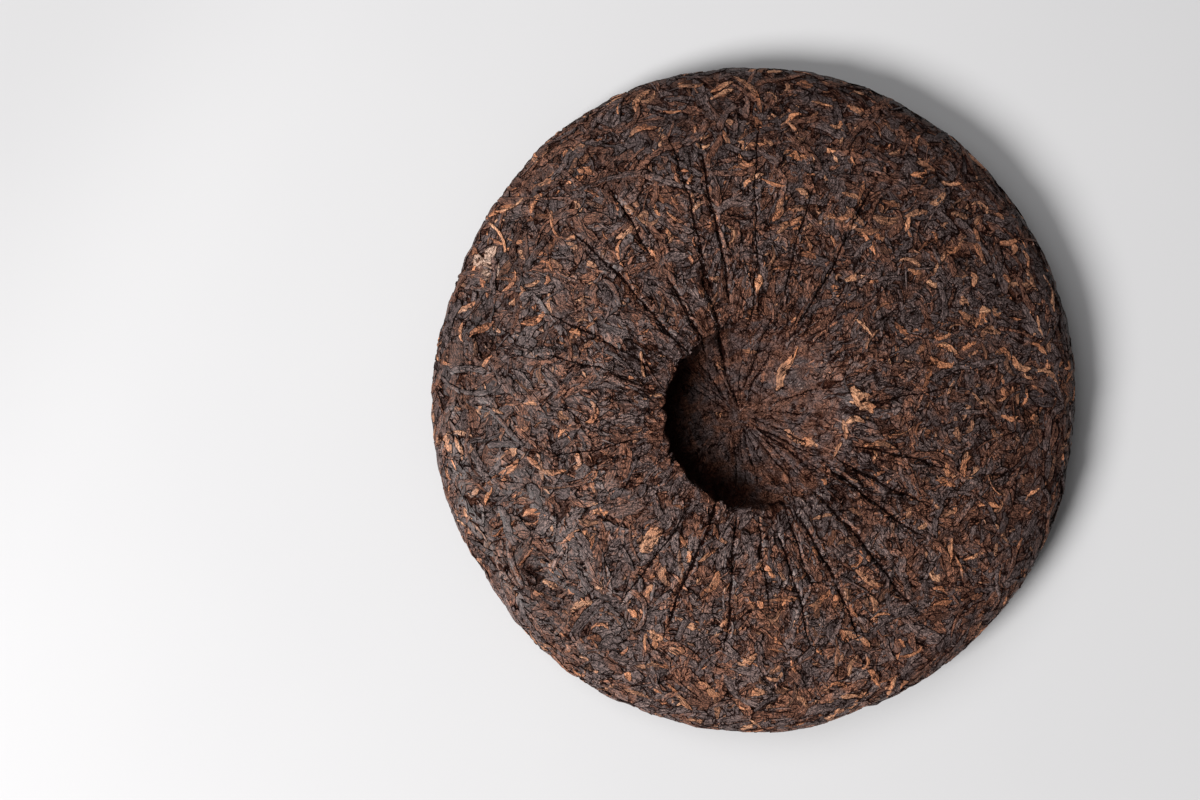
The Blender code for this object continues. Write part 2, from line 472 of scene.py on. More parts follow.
def bitModel(name, rows, columns, tipShare, fullness, crease):
    # a closed bit 1 long and 1 wide, with a flat top and a skirt that goes 1 down
    bpy.ops.object.select_all(action="DESELECT")
    bpy.ops.mesh.primitive_grid_add(x_subdivisions=rows, y_subdivisions=columns, size=1.0)
    piece = bpy.context.object
    piece.name = name
    bpy.ops.object.mode_set(mode="EDIT")
    bpy.context.tool_settings.mesh_select_mode = (False, True, False)
    bpy.ops.mesh.select_all(action="SELECT")
    bpy.ops.mesh.region_to_loop()
    bpy.ops.mesh.extrude_edges_move(TRANSFORM_OT_translate={"value": (0.0, 0.0, -1.0)})
    bpy.ops.mesh.edge_face_add()
    bpy.context.tool_settings.mesh_select_mode = (True, False, False)
    for along in sorted({round(v.co.x, 4) for v in piece.data.vertices}):
        toTip = 1.0 - abs(2.0 * along)
        share = tipShare + (1.0 - tipShare) * min(1.0, toTip / fullness) ** 0.6
        selectWhere(piece, lambda co: abs(co.x - along) < 0.001)
        bpy.ops.transform.resize(value=(1.0, share, 1.0), center_override=(along, 0.0, 0.0))
    if crease:
        selectWhere(piece, lambda co: abs(co.y) < 0.001 and abs(co.x) < 0.42 and co.z > -0.5)
        bpy.ops.transform.translate(value=(0.0, 0.0, -crease))
    bpy.ops.mesh.select_all(action="SELECT")
    bpy.ops.mesh.normals_make_consistent(inside=False)
    bpy.ops.object.mode_set(mode="OBJECT")
    return piece


def readModel(piece):
    # its points, faces, rim, each point's place on a unit square and its way in from the edge;
    # the model is then cleared
    points = meshPoints(piece)
    faces = [tuple(face.vertices) for face in piece.data.polygons]
    rim = points[:, 2] < -0.9
    halfWidth = np.array([np.abs(points[np.abs(points[:, 0] - x) < 0.001, 1]).max()
                          for x in points[:, 0]])
    square = np.stack([points[:, 0] + 0.5, 0.5 + 0.5 * points[:, 1] / halfWidth], 1)
    square = np.where(rim[:, None], square, 0.06 + 0.88 * square)
    inward = np.stack([halfWidth - np.abs(points[:, 1]), 0.5 - np.abs(points[:, 0])], 1)
    bpy.data.objects.remove(piece, do_unlink=True)
    return points, faces, rim, square, inward


models = {
    "flake": readModel(bitModel("flakeModel", 6, 4, 0.35, 0.55, 0.0)),
    "strip": readModel(bitModel("stripModel", 7, 2, 0.3, 0.6, 0.25)),
    "twist": readModel(bitModel("twistModel", 8, 2, 0.35, 0.4, -0.2)),
    "bud": readModel(bitModel("budModel", 8, 2, 0.25, 0.8, -0.35)),
    "crumb": readModel(bitModel("crumbModel", 2, 2, 0.6, 0.9, 0.0)),
    "stem": readModel(bitModel("stemModel", 12, 2, 0.55, 0.2, -0.32)),
}
print("bit models", {name: len(model[0]) for name, model in models.items()})


def surfaceSeeds(count, weight, gap, seed):
    # places on the guide surface, kept a gap in mm apart, with their outward normals
    local = np.random.default_rng(seed)
    corners = np.array([face if len(face) == 4 else (*face, face[2]) for face in guideFaces])
    quads = guidePoints[corners] / mm
    centres = quads.mean(1)
    facing = np.cross(quads[:, 2] - quads[:, 0], quads[:, 3] - quads[:, 1])
    areas = np.linalg.norm(facing, axis=1) / 2.0
    facing /= 2.0 * areas[:, None]
    shares = areas * np.maximum(0.0, weight(centres, facing))
    picks = local.choice(len(shares), size=count * 6, p=shares / shares.sum())
    a, b = local.random((2, len(picks), 1))
    chosen = quads[picks]
    places = ((chosen[:, 0] * (1 - a) + chosen[:, 1] * a) * (1 - b)
              + (chosen[:, 3] * (1 - a) + chosen[:, 2] * a) * b)
    taken = {}
    kept = []
    for i, place in enumerate(places):
        cell = tuple(np.floor(place / gap).astype(int))
        near = [q for dx in (-1, 0, 1) for dy in (-1, 0, 1) for dz in (-1, 0, 1)
                for q in taken.get((cell[0] + dx, cell[1] + dy, cell[2] + dz), ())]
        if all(((place - q) ** 2).sum() > gap * gap for q in near):
            taken.setdefault(cell, []).append(place)
            kept.append(i)
            if len(kept) == count:
                break
    return places[kept], facing[picks[kept]]


def headings(places, normals, spreadNear, seed):
    # mostly along the folds near the hollow, along the rim at the edge, any way between
    local = np.random.default_rng(seed)
    distance = np.hypot(places[:, 0] - cake["hollow"][0], places[:, 1] - cake["hollow"][1])
    reach = np.hypot(places[:, 0], places[:, 1])
    outwards = places - np.array([*cake["hollow"], 0.0])
    outwards[:, 2] = 0.0
    outwards -= normals * (outwards * normals).sum(1, keepdims=True)
    outwards /= np.maximum(np.linalg.norm(outwards, axis=1, keepdims=True), 0.001)
    sideways = np.cross(normals, outwards)
    spread = spreadNear + (1.7 - spreadNear) * smoothStep((distance - 40.0) / 30.0)
    spread = np.where(normals[:, 2] < 0.2, 1.7, spread)
    turn = local.normal(size=len(places)) * spread
    along = smoothStep((reach - 84.0) / 10.0) * (local.random(len(places)) < 0.7)
    turn = np.where(along > 0.5, math.pi / 2 + local.normal(size=len(places)) * 0.35, turn)
    turn += math.pi * (local.random(len(places)) < 0.5)
    c, s = np.cos(turn)[:, None], np.sin(turn)[:, None]
    return outwards * c + sideways * s


def uneven(local, count, points, amount):
    # how much wider each bit is at each of its points, different on its two sides
    phase = local.uniform(0.0, 2.0 * math.pi, (count, 4))
    upper = points[None, :, 1] > 0.0
    slow = np.where(upper, phase[:, :1], phase[:, 1:2])
    quick = np.where(upper, phase[:, 2:3], phase[:, 3:])
    along = points[None, :, 0]
    return 1.0 + amount * (np.sin(9.0 * along + slow) + 0.7 * np.sin(21.0 * along + quick))


def layBits(name, model, places, normals, forward, size, seed, onBackOnly=True, draped=True):
    # copies of one model, bent, torn and laid into the surface; sizes in mm
    local = np.random.default_rng(seed)
    points, faces, rim, square, inward = models[model]
    count = len(places)
    length, width, thick, lift, curl = (np.asarray(size[key], dtype=float).reshape(-1, 1)
                                        for key in ("length", "width", "thick", "lift", "curl"))
    atTip = np.abs(points[:, 0]) > 0.499
    along = points[None, :, 0] * length + rim * atTip * np.sign(points[:, 0]) * size["flare"]
    torn = 0.12 * np.sin(7.0 * points[None, :, 1] + local.uniform(0.0, 6.28, (count, 1)))
    along = along * (1.0 + torn * atTip * size["fray"])
    aside = points[None, :, 1] * width * uneven(local, count, points, 0.16 * size["fray"])
    aside = aside + rim * np.sign(points[:, 1]) * size["flare"]
    aside = aside + width * 0.2 * np.sin(along / length * 5.0 + local.uniform(0, 6.28, (count, 1)))
    safe = np.where(np.abs(curl) < 0.02, 0.02, curl)
    turned = safe * points[None, :, 0]
    radius = length / safe
    bentX = radius * np.sin(turned) - aside * np.sin(turned)
    bentY = radius * (1.0 - np.cos(turned)) + aside * np.cos(turned)
    across = np.cross(normals, forward)
    world = (places[:, None, :] + bentX[:, :, None] * forward[:, None, :]
             + bentY[:, :, None] * across[:, None, :])
    ripple = local.normal(size=(count, len(points))) * np.where(rim, 0.0, size["ripple"])
    tilt = local.normal(size=(count, 1)) * size["tilt"] * points[None, :, 0] * 2.0
    lean = local.normal(size=(count, 1)) * size["tilt"] * points[None, :, 1] * 2.0
    depth = points[None, :, 2] * thick + lift + ripple + tilt + lean
    depth = np.minimum(depth, size["cap"])
    flat = world.reshape(-1, 3)
    heights = depth.reshape(-1)
    laid = np.empty_like(flat)
    upright = np.empty(len(flat))
    for i, place in enumerate(flat * mm):
        at, normal, _, _ = guideTree.find_nearest(place)
        laid[i] = at / mm + normal * heights[i]
        upright[i] = normal.z
    if not draped:
        laid = flat + np.repeat(normals, len(points), axis=0) * heights[:, None]
    aside2, depths = np.full(len(flat), pinch["known"]), np.zeros(len(flat))
    if onBackOnly:
        share = smoothStep((upright - 0.15) / 0.3) * (laid[:, 2] > cake["edgeHeight"])
        laid, aside2, depths = press(laid, share)
    laid[:, 2] = np.maximum(laid[:, 2], 0.0)

    allFaces = [tuple(i + k * len(points) for i in face) for k in range(count) for face in faces]
    data = bpy.data.meshes.new(name)
    data.from_pydata((laid * mm).tolist(), [], allFaces)
    piece = bpy.data.objects.new(name, data)
    bpy.context.scene.collection.objects.link(piece)
    bpy.ops.object.select_all(action="DESELECT")
    piece.select_set(True)
    bpy.context.view_layer.objects.active = piece
    bpy.ops.object.shade_smooth_by_angle(angle=math.radians(40.0))
    keepValues(data, "tint", np.repeat(size["tint"], len(points)))
    keepValues(data, "warmth", np.repeat(size["warmth"], len(points)))
    edge = np.minimum(inward[None, :, 0] * np.maximum(width, 1.6), inward[None, :, 1] * length)
    keepValues(data, "inward", np.where(rim, -size["flare"], edge).ravel())
    # painted shade deep in the hollow's steep wall
    keepValues(data, "pocket", wallPocket(laid))
    keepValues(data, "foldAside", aside2)
    keepValues(data, "foldDepth", depths)
    grain = np.stack([np.broadcast_to(along, (count, len(points))), aside,
                      np.broadcast_to(local.uniform(0, 60, (count, 1)), (count, len(points)))], 2)
    data.attributes.new("grain", "FLOAT_VECTOR", "POINT").data.foreach_set(
        "vector", grain.astype(np.float32).ravel())
    packBitMap(data, points, faces, square, count)
    print(name, count, "bits,", len(data.polygons), "faces")
    return piece


def packBitMap(data, points, faces, square, count):
    # a flat map with one cell for each bit: its top on the left, its hidden base on the right
    cells = math.ceil(math.sqrt(count))
    layout = []
    for face in faces:
        isBase = all(points[i, 2] < -0.9 for i in face)
        for i in face:
            u, v = square[i]
            layout.append((0.78 + 0.18 * u, 0.04 + 0.92 * v) if isBase
                          else (0.03 + 0.71 * u, 0.04 + 0.92 * v))
    layout = np.array(layout)
    k = np.arange(count)
    origin = np.stack([k % cells, k // cells], 1)
    spread = (origin[:, None, :] + layout[None, :, :]) / cells
    data.uv_layers.new(name="OFBake").data.foreach_set("uv", spread.astype(np.float32).ravel())


weave = {"pitch": 0.78, "depth": 0.05}
creases = {"around": 9.0, "wide": 0.3, "to": 74.0}
cracks = {"size": 0.2, "wide": 0.026, "dark": 3.4}
# painted shade, in stops: darker towards the side facing 'towards' degrees, away from the key light, and along
# the edge; a negative 'hollow' lightens the leaf inside the hollow
shade = {"towards": 38.0, "far": 0.4, "edge": 0.5, "hollow": -0.16}
scale = {"patch": 0.12, "fleck": 1.05, "speck": 2.1, "warm": 0.16}


def weavePrint(shader, place):
    # the print of the plain-woven pressing cloth, 0 to 1; place in mm
    bent = shader.noise(place, 0.12, 1.0)
    x, y, _ = shader.parts(place)
    turns = 2.0 * math.pi / weave["pitch"]
    warp = shader.maths("SINE", (x + bent * 3.0) * turns)
    weft = shader.maths("SINE", (y - bent * 3.0) * turns)
    return (warp + weft) * 0.25 + 0.5


def aroundHollow(shader, place, around, along):
    # a place that runs round and away from the hollow, and the distance from it
    x, y, z = shader.parts(place)
    fromX = x - cake["hollow"][0]
    fromY = y - cake["hollow"][1]
    distance = shader.maths("MAXIMUM", (fromX * fromX + fromY * fromY) ** 0.5, 1.0)
    bent = shader.noise(place, 0.14, 2.0) * 1.2
    turn = shader.joined(
        fromX / distance * around + bent, fromY / distance * around - bent, distance * along
    )
    return turn, distance


def fineCreases(shader, place):
    # thin creases running out from the hollow, 0 to 1, that come and go, and the distance; the creases darken
    # the leaf as painted shade and dip it slightly
    turn, distance = aroundHollow(shader, place, creases["around"], 0.07)
    wave = shader.noise(turn, 1.0, 2.0, 0.6)
    aside = shader.maths("ABSOLUTE", wave - 0.5) * distance * (1.7 / creases["around"])
    line = shader.between(aside, creases["wide"], 0.06)
    kept = shader.between(shader.noise(place, 0.1, 2.0), 0.5, 0.58)
    reach = shader.between(distance, creases["to"], creases["to"] - 40.0)
    reach = reach * (shader.between(distance, 14.0, 27.0) * 0.75 + 0.25)
    high = shader.between(shader.parts(place)[2], 8.0, 12.0)
    return line * kept * reach * high, distance


def namedFolds(shader, place, inHollow):
    # the fold as a line, 0 to 1, that darkens the leaf as painted shade and dips it
    aside = shader.attribute("foldAside")
    depth = shader.attribute("foldDepth")
    wobble = shader.noise(place, 0.8, 2.0)
    gap = shader.maths("ABSOLUTE", aside + (wobble - 0.5) * 1.3)
    wide = (depth * 0.12 + 0.11) * (inHollow * 0.5 + 1.0)
    return shader.between(gap / wide, 1.5, 0.6) * shader.held(depth * 2.2)


def paintedFarShade(shader, place):
    # how many stops of painted shade lie on the far side from the key light and along the edge, less of it
    # towards the lower side
    x, y, _ = shader.parts(place)
    side = math.radians(shade["towards"])
    far = shader.between(x * math.cos(side) + y * math.sin(side), -40.0, 95.0)
    edge = shader.between((x * x + y * y) ** 0.5, 68.0, 92.0) * shader.between(y, -95.0, -25.0)
    return far * shade["far"] + edge * shade["edge"]


def crookedCracks(shader, place):
    # short curved cracks between pressed leaves, 0 to 1, which darken the leaf as painted shade and dip it
    # slightly
    bent = shader.noise(place, cracks["size"], 3.0, 0.6, 0.9)
    aside = shader.maths("ABSOLUTE", bent - 0.5)
    kept = shader.between(shader.noise(place, 0.33, 2.0), 0.44, 0.54)
    return shader.between(aside, cracks["wide"], cracks["wide"] * 0.3) * kept


def leafFinish(name, stops, look, isCore=False):
    # lightness is summed in stops about the middle of the ramp, eight stops long
    shader = Shader(name)
    place = shader.stretched(shader.objectPlace(), (1000.0, 1000.0, 1000.0))
    tint = 0.5 if isCore else shader.attribute("tint")
    if isCore:
        grain = shader.stretched(place, (0.9, 0.9, 0.9))
        streak = shader.stretched(place, (0.4, 0.4, 0.4))
    else:
        grain = shader.stretched(shader.attribute("grain", "Vector"), look["grain"])
        streak = shader.stretched(shader.attribute("grain", "Vector"), look["streak"])
    inward = shader.attribute("inward")
    gap = shader.attribute("gap")
    pocket = shader.attribute("pocket")
    patch = shader.noise(place, scale["patch"], 3.0, 0.6)
    blotch = shader.noise(streak, 1.0, 3.0, 0.62, 0.7)
    fleck = shader.noise(place, scale["fleck"], 2.5, 0.62, 0.5)
    speck = shader.noise(place, scale["speck"], 1.0)
    fibre = shader.noise(grain, 1.0, 3.0, 0.65, 0.5)
    ridge = shader.maths("ABSOLUTE", shader.noise(grain, 0.75, 3.0, 0.62, 0.8) - 0.5)
    wrinkle = shader.between(ridge, 0.0, look["wrinkleWide"])
    cloth = weavePrint(shader, place)
    fine, distance = fineCreases(shader, place)
    inHollow = shader.between(distance, 28.0, 21.0)
    folds = namedFolds(shader, place, inHollow)
    crack = crookedCracks(shader, place)
    broken = shader.between(shader.noise(place, 0.31, 2.0, 0.6), 0.38, 0.52) * 0.85 + 0.15
    # painted shade in the crevice round each bit, broken into arcs
    outline = shader.between(inward + (fleck - 0.5) * 0.6, look["outline"], 0.0) * broken
    lightness = (
        (tint - 0.5) * look["tint"] + (patch - 0.5) * look["patch"]
        + (blotch - 0.5) * look["blotch"] + (fibre - 0.5) * look["fibre"]
        + (fleck - 0.5) * look["fleck"] + (speck - 0.5) * look["speck"]
        + (cloth - 0.5) * look["cloth"] + look["lift"]
        # the wrinkles' valleys are darkened as painted shade
        + (wrinkle - 0.7) * look["wrinkle"] * (1.0 - inHollow * 0.45)
        - paintedFarShade(shader, place) * look["shade"] - inHollow * shade["hollow"]
    )
    # painted shade: darker at each bit's edge, where the core shows between the bits, deep in the hollow's
    # steep wall, and along the folds, creases and cracks
    lightness = (
        lightness - outline * look["outlineShade"] - gap * look["gap"] - pocket * 4.0
        - folds * 4.6 - fine * 2.2 - crack * cracks["dark"]
    )
    colour = shader.node(
        "ShaderNodeValToRGB", {"stops": stops}, {0: shader.held(lightness / 8.0 + 0.5)}
    )
    warmth = look["coreWarmth"] if isCore else shader.attribute("warmth")
    warm = shader.noise(place, scale["warm"], 3.0, 0.5, 0.8) + (warmth - 0.5) * look["ownWarmth"]
    warm = shader.between(warm, 0.38, 0.695)
    cast = shader.mix(warm, (0.77, 0.90, 1.03, 1.0), (1.12, 0.82, 0.63, 1.0))
    colour = shader.mix(look["cast"], colour, cast, "MULTIPLY")
    shader.feed(shader.surface.inputs["Base Color"], colour)
    shader.feed(shader.surface.inputs["Roughness"], look["rough"] + (blotch - 0.5) * 0.5)
    shader.feed(shader.surface.inputs["Specular IOR Level"], look["shine"])
    closed = shader.held(outline + folds + fine + gap + crack)
    shader.feed(shader.surface.inputs["Coat Weight"], (1.0 - closed) * look["sheen"] * (shader.between(distance, 22.0, 46.0) * 0.7 + 0.3))
    shader.feed(shader.surface.inputs["Coat Roughness"], 0.45)
    height = (
        fibre * look["fibreRise"] + blotch * 0.6 + fleck * look["fleckRise"] + speck * 0.2
        + wrinkle * look["wrinkleRise"]
        + cloth * weave["depth"] - outline * 0.15 - folds * 0.5 - fine * 0.2 - crack * 0.25
    )
    shader.feed(shader.surface.inputs["Normal"], shader.bump(height, mm))
    return shader.material


darkLeaf = (
    (0.0, (0.0070, 0.0014, 0.0008)),
    (0.19, (0.021, 0.0072, 0.0046)),
    (0.35, (0.0430, 0.0208, 0.0155)),
    (0.457, (0.068, 0.0405, 0.0350)),
    (0.544, (0.108, 0.0655, 0.0560)),
    (0.626, (0.175, 0.104, 0.086)),
    (0.729, (0.310, 0.180, 0.140)),
    (0.875, (0.56, 0.34, 0.25)),
)
goldLeaf = (
    (0.0, (0.006, 0.0016, 0.0012)),
    (0.3, (0.045, 0.0190, 0.0120)),
    (0.457, (0.110, 0.049, 0.031)),
    (0.56, (0.215, 0.098, 0.056)),
    (0.66, (0.400, 0.178, 0.098)),
    (0.78, (0.600, 0.285, 0.156)),
    (0.9, (0.780, 0.405, 0.232)),
)
paleLeaf = (
    (0.0, (0.03, 0.014, 0.009)),
    (0.3, (0.15, 0.082, 0.056)),
    (0.5, (0.38, 0.235, 0.170)),
    (0.7, (0.62, 0.44, 0.35)),
)
dullLook = {
    "tint": 0.95, "patch": 0.95, "blotch": 1.15, "fibre": 1.4, "fleck": 1.4, "speck": 2.2,
    "wrinkle": 2.3, "wrinkleWide": 0.05, "wrinkleRise": 0.2,
    "cloth": 0.35, "lift": 0.5, "gap": 0.0, "cast": 1.0, "grain": (0.45, 1.5, 1.0),
    "streak": (0.24, 0.65, 1.0), "shade": 1.0,
    "fibreRise": 0.65, "fleckRise": 0.6, "rough": 0.7, "shine": 0.05, "sheen": 0.4,
    "outline": 0.27, "outlineShade": 4.6, "ownWarmth": 0.5,
}
coreLook = {**dullLook, "gap": 1.2, "fibre": 1.6, "fleck": 2.6, "coreWarmth": 0.62}
goldLook = {**dullLook, "tint": 2.4, "patch": 0.8, "blotch": 2.2, "lift": 1.0, "fibre": 2.4,
            "fleck": 1.8, "speck": 1.2, "cast": 0.42, "wrinkle": 1.2, "outlineShade": 3.4,
            "outline": 0.24, "shade": 0.4}
paleLook = {**goldLook, "cast": 0.2, "lift": 0.3, "wrinkle": 2.0, "fibre": 4.0}
darkFinish = leafFinish("pressedLeaf", darkLeaf, dullLook)
goldFinish = leafFinish("goldenBud", goldLeaf, goldLook)
paleFinish = leafFinish("paleDown", paleLeaf, paleLook)
body.data.materials.append(leafFinish("pressedCore", darkLeaf, coreLook, True))


def backOnly(centres, facing):
    distance = np.hypot(centres[:, 0] - cake["hollow"][0], centres[:, 1] - cake["hollow"][1])
    return smoothStep((facing[:, 2] + 0.05) / 0.2) * smoothStep((distance - 27.0) / 4.0)


def outerBack(centres, facing):
    distance = np.hypot(centres[:, 0] - cake["hollow"][0], centres[:, 1] - cake["hollow"][1])
    return backOnly(centres, facing) * (0.25 + 0.75 * smoothStep((distance - 42.0) / 30.0))


def rollsOnly(centres, facing):
    # the rolled strands lie mostly towards the edge
    distance = np.hypot(centres[:, 0] - cake["hollow"][0], centres[:, 1] - cake["hollow"][1])
    return backOnly(centres, facing) * (0.15 + 0.85 * smoothStep((distance - 50.0) / 25.0))


def underOnly(centres, facing):
    return smoothStep((0.15 - facing[:, 2]) / 0.2)


def hollowOnly(centres, facing):
    distance = np.hypot(centres[:, 0] - cake["hollow"][0], centres[:, 1] - cake["hollow"][1])
    return (facing[:, 2] > -0.2) * (distance < 31.0) * (0.3 + distance / 31.0)


leafy = {"thick": 0.5, "fray": 1.0, "flare": 0.16, "ripple": 0.05, "tilt": 0.1, "cap": 0.22}
bitKinds = (
    {"name": "flakesBack", "model": "flake", "count": 1300, "gap": 3.0, "where": backOnly,
     "length": (6.0, 17.0), "width": (2.4, 5.6), "lift": (-0.3, 0.05), "curl": 0.5,
     "tint": (0.0, 1.0), "finish": darkFinish, "spread": 0.5},
    {"name": "stripsBack", "model": "strip", "count": 1050, "gap": 3.0, "where": backOnly,
     "length": (5.0, 15.0), "width": (1.5, 3.9), "lift": (-0.2, 0.12), "curl": 1.2,
     "tint": (0.0, 1.0), "finish": darkFinish, "spread": 0.35},
    {"name": "twistsBack", "model": "twist", "count": 420, "gap": 4.0, "where": backOnly,
     "length": (5.0, 14.0), "width": (0.5, 1.1), "lift": (-0.05, 0.22), "curl": 1.3,
     "tint": (0.0, 1.0), "finish": darkFinish, "spread": 0.3},
    {"name": "rollsBack", "model": "stem", "count": 240, "gap": 5.0, "where": rollsOnly,
     "length": (7.0, 19.0), "width": (1.5, 2.8), "lift": (-0.05, 0.2), "curl": 1.6,
     "tint": (0.1, 1.1), "finish": darkFinish, "spread": 0.6, "thick": 0.8, "cap": 0.6,
     "warmth": (0.0, 1.0)},
    {"name": "budsBack", "model": "bud", "count": 600, "gap": 2.6, "where": outerBack,
     "length": (2.5, 9.5), "width": (0.9, 2.7), "lift": (-0.16, 0.14), "curl": 2.6,
     "tint": (0.0, 1.0), "finish": goldFinish, "spread": 0.9},
    {"name": "crumbsBack", "model": "crumb", "count": 1300, "gap": 1.8, "where": backOnly,
     "length": (0.9, 2.6), "width": (0.5, 1.3), "lift": (-0.1, 0.16), "curl": 0.6,
     "tint": (0.0, 1.0), "finish": darkFinish, "spread": 1.2},
    {"name": "goldCrumbs", "model": "crumb", "count": 480, "gap": 2.6, "where": backOnly,
     "length": (1.2, 3.4), "width": (0.5, 1.2), "lift": (-0.06, 0.14), "curl": 0.9,
     "tint": (0.1, 0.9), "finish": goldFinish, "spread": 0.6},
    {"name": "flakesHollow", "model": "flake", "count": 90, "gap": 3.6, "where": hollowOnly,
     "length": (5.0, 9.0), "width": (2.0, 4.2), "lift": (-0.2, -0.02), "curl": 0.4,
     "tint": (0.2, 0.9), "finish": darkFinish, "spread": 0.3},
    {"name": "bitsHollow", "model": "strip", "count": 240, "gap": 1.9, "where": hollowOnly,
     "length": (3.0, 8.0), "width": (0.7, 1.8), "lift": (-0.14, 0.08), "curl": 0.8,
     "tint": (0.1, 1.0), "finish": darkFinish, "spread": 0.35},
    {"name": "flakesFace", "model": "flake", "count": 1000, "gap": 3.4, "where": underOnly,
     "length": (6.0, 13.0), "width": (2.6, 5.5), "lift": (-0.28, 0.0), "curl": 0.5,
     "tint": (0.0, 1.0), "finish": darkFinish, "spread": 1.7},
    {"name": "stripsFace", "model": "strip", "count": 1400, "gap": 2.6, "where": underOnly,
     "length": (4.5, 12.0), "width": (1.2, 2.6), "lift": (-0.18, 0.14), "curl": 1.2,
     "tint": (0.0, 1.0), "finish": darkFinish, "spread": 1.7},
    {"name": "budsFace", "model": "bud", "count": 300, "gap": 4.0, "where": underOnly,
     "length": (2.5, 8.0), "width": (0.8, 2.0), "lift": (-0.14, 0.14), "curl": 2.6,
     "tint": (0.0, 1.0), "finish": goldFinish, "spread": 1.7},
    {"name": "crumbsFace", "model": "crumb", "count": 1300, "gap": 1.9, "where": underOnly,
     "length": (0.9, 2.6), "width": (0.5, 1.3), "lift": (-0.1, 0.16), "curl": 0.6,
     "tint": (0.0, 1.0), "finish": darkFinish, "spread": 1.7},
)


def scatter(kind, seed):
    local = np.random.default_rng(seed)
    places, normals = surfaceSeeds(kind["count"], kind["where"], kind["gap"], seed + 1)
    count = len(places)
    size = {**leafy,
            "length": local.uniform(*kind["length"], count),
            "width": local.uniform(*kind["width"], count),
            "lift": local.uniform(*kind["lift"], count),
            "curl": local.normal(size=count) * kind["curl"] * 0.5,
            "tint": local.uniform(*kind["tint"], count),
            "warmth": local.uniform(*kind.get("warmth", (0.0, 1.0)), count)}
    size["thick"] = np.full(count, kind.get("thick", leafy["thick"]))
    size["cap"] = kind.get("cap", leafy["cap"])
    most = 0.75 * size["length"] / size["width"]
    size["curl"] = np.clip(size["curl"], -most, most)
    forward = headings(places, normals, kind["spread"], seed + 2)
    piece = layBits(kind["name"], kind["model"], places, normals, forward, size, seed + 3,
                    kind["where"] is not underOnly)
    piece.data.materials.append(kind["finish"])
    return piece


bits = [scatter(kind, 100 + 10 * i) for i, kind in enumerate(bitKinds)]

